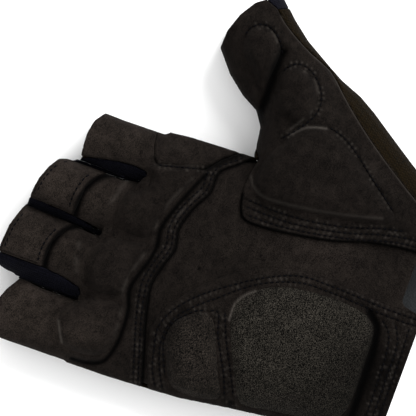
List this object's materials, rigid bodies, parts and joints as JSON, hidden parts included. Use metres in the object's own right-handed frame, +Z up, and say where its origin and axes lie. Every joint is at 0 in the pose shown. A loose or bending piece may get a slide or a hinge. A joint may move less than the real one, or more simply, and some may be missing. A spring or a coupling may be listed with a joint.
{
  "type": "cycling glove",
  "caption": "Fingerless right-hand cycling glove lying palm up: a hollow suede and stretch-fabric shell with sewn-on padding, open finger stalls and a wrist opening.",
  "frame": {"origin": "a point on the flat underside of the glove's back, under the palm's centre, at the face it rests on", "axes": "+X toward the thumb, +Y toward the fingertips, +Z up out of the palm"},
  "size_m": [0.168, 0.1676, 0.036],
  "materials": {
    "suede": "matt black-brown synthetic suede",
    "grained_suede": "matt, finely grained",
    "knit": "smooth dark navy knit",
    "stretch_fabric": "matt brown-black stretch fabric",
    "facing_fabric": "smooth dark grey"
  },
  "bodies": {
    "root": {"palm_panel": "suede", "finger_panel": "suede", "index_side_panel": "suede", "fourchette_index_middle": "knit", "fourchette_middle_ring": "knit", "fourchette_ring_little": "knit", "heel_patch": "grained_suede", "thumb_panel": "suede", "thumb_back": "stretch_fabric", "thumb_edge": "knit", "back_panel": "stretch_fabric", "cuff_facing": "facing_fabric", "knuckle_pad_index_middle": "suede", "knuckle_pad_ring": "suede", "knuckle_pad_little": "suede", "heel_pad": "grained_suede", "side_pad": "grained_suede", "thenar_pad": "suede", "thumb_mid_pad": "suede", "thumb_tip_pad": "suede", "pull_tab_middle": "suede", "pull_tab_ring": "suede"}
  },
  "joints": []
}
